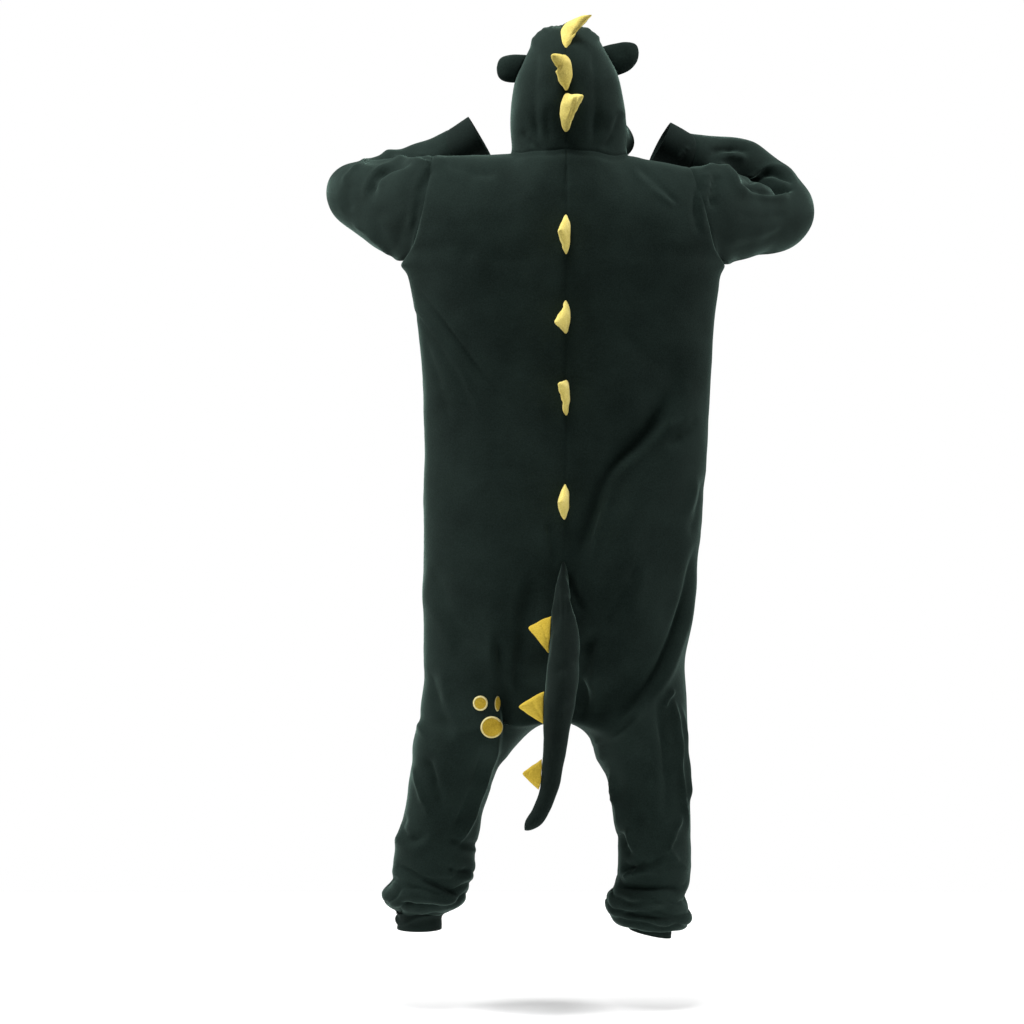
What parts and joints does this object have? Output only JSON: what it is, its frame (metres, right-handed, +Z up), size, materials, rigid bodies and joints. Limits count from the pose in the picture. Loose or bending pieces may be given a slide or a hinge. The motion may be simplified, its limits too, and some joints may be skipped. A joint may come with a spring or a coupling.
{
  "type": "crocodile onesie costume",
  "caption": "Worn, hollow one-piece animal costume of dark green fleece with a hood, small ears, yellow spikes along the back and a stuffed tail.",
  "frame": {"origin": "on the shoulder line, at the middle of the neck, where the wearer's shoulders carry the garment", "axes": "+X is the wearer's right, +Y the wearer's front, +Z up"},
  "size_m": [0.905, 0.556, 1.6455],
  "materials": {
    "green_fleece": "matte brushed fleece",
    "green_band": "matte brushed fleece",
    "yellow_fleece": "matte brushed fleece",
    "button": "satin"
  },
  "bodies": {
    "root": {"back_left": "green_fleece", "front_left": "green_fleece", "hood_left": "green_fleece", "sleeve_left": "green_fleece", "sleeve_cuff_left": "green_band", "ankle_cuff_left": "green_band", "back_right": "green_fleece", "front_right": "green_fleece", "hood_right": "green_fleece", "sleeve_right": "green_fleece", "sleeve_cuff_right": "green_band", "ankle_cuff_right": "green_band", "ear_left": "green_fleece", "ear_right": "green_fleece", "hood_spike_1": "yellow_fleece", "hood_spike_2": "yellow_fleece", "hood_spike_3": "yellow_fleece", "back_spike_1": "yellow_fleece", "back_spike_2": "yellow_fleece", "back_spike_3": "yellow_fleece", "back_spike_4": "yellow_fleece", "tail": "green_fleece", "tail_spike_1": "yellow_fleece", "tail_spike_2": "yellow_fleece", "tail_spike_3": "yellow_fleece", "spot_1": "yellow_fleece", "spot_2": "yellow_fleece", "spot_3": "yellow_fleece", "front_placket": "green_band", "button_1": "button", "button_2": "button", "button_3": "button", "button_4": "button", "button_5": "button"}
  },
  "joints": []
}
